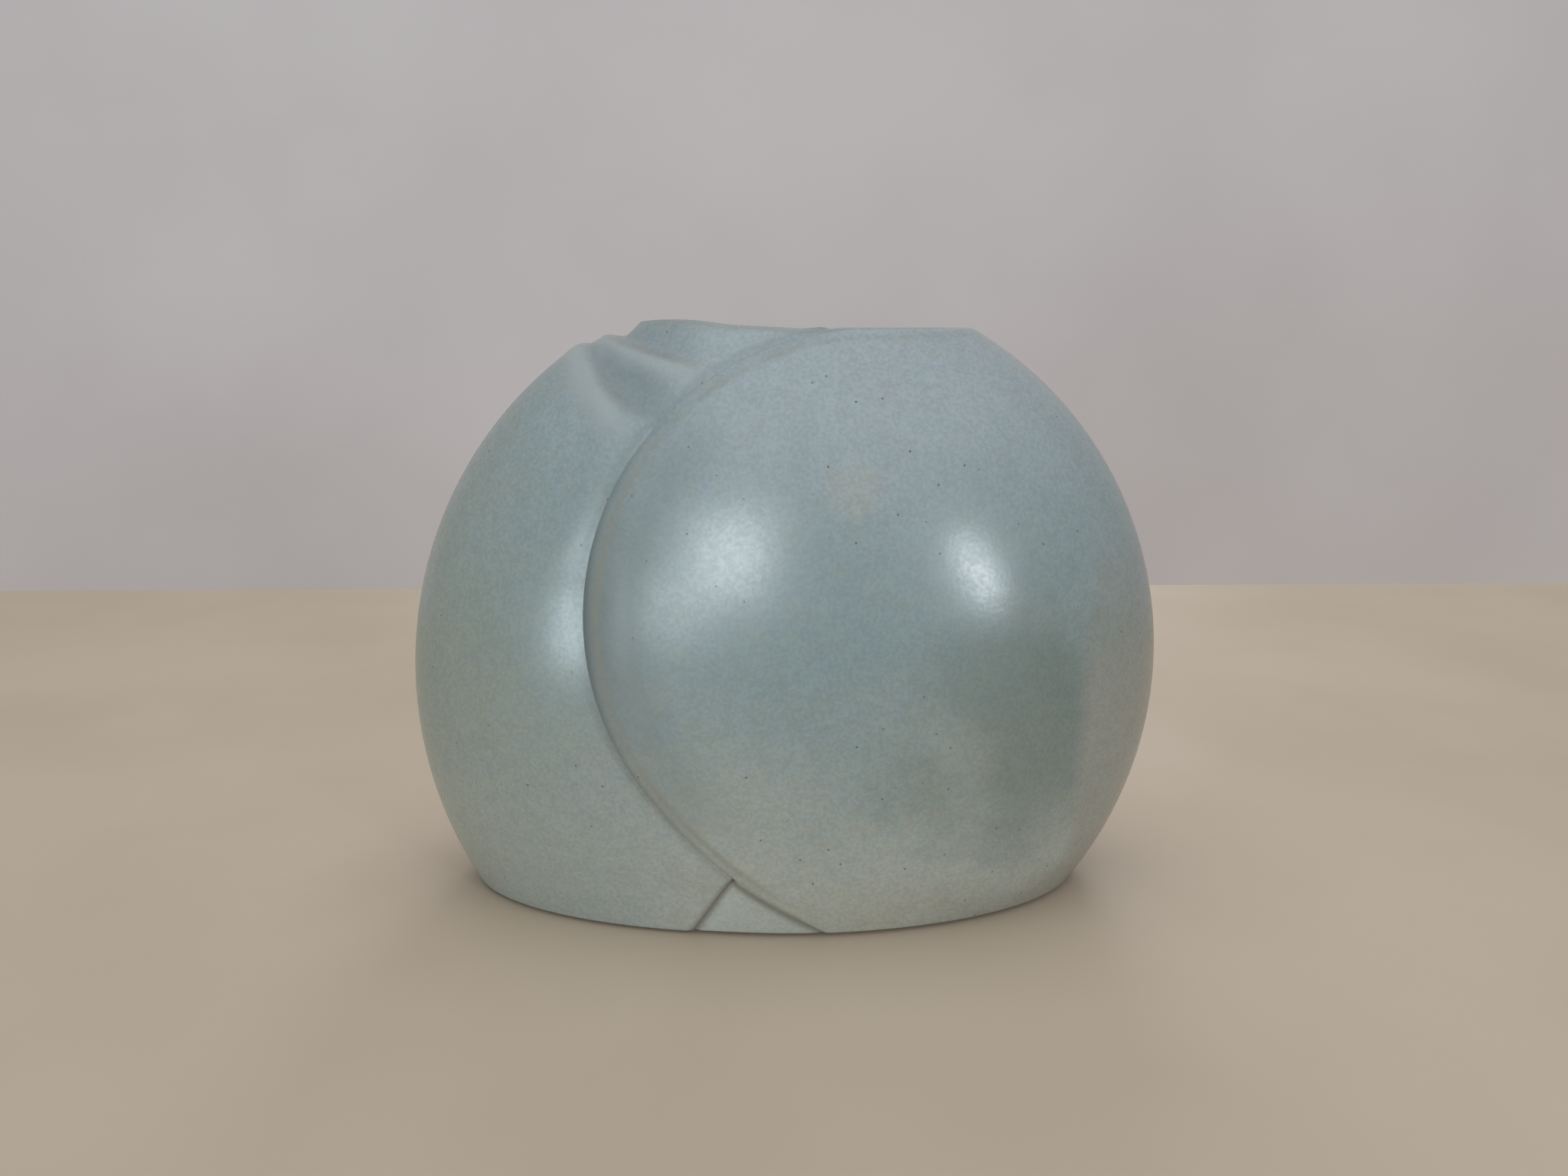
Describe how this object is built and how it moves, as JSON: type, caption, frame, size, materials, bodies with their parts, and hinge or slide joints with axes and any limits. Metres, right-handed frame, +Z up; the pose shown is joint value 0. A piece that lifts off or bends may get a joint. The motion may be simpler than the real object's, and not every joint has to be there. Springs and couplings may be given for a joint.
{
  "type": "pillow vase",
  "caption": "Flattened oval ceramic vase in a pale celadon glaze: a round front shell laps over a side shell, with gathered pleats under one end of the narrow mouth.",
  "frame": {"origin": "centre of the foot's underside, midway across the body's width and depth", "axes": "+X along the width, towards the side of the round shell; +Y from front to back; +Z up from the table"},
  "size_m": [0.188, 0.094, 0.1426],
  "materials": {
    "celadon_glaze": "satin",
    "pale_glaze": "satin",
    "lining_glaze": "satin",
    "bare_clay": "matte"
  },
  "bodies": {
    "root": {"right_shell": "celadon_glaze", "left_shell": "celadon_glaze", "pleated_collar": "celadon_glaze", "front_gusset": "pale_glaze", "back_gusset": "pale_glaze", "floor_slab": "bare_clay", "foot_ring": "bare_clay", "inner_glaze": "lining_glaze"}
  },
  "joints": []
}
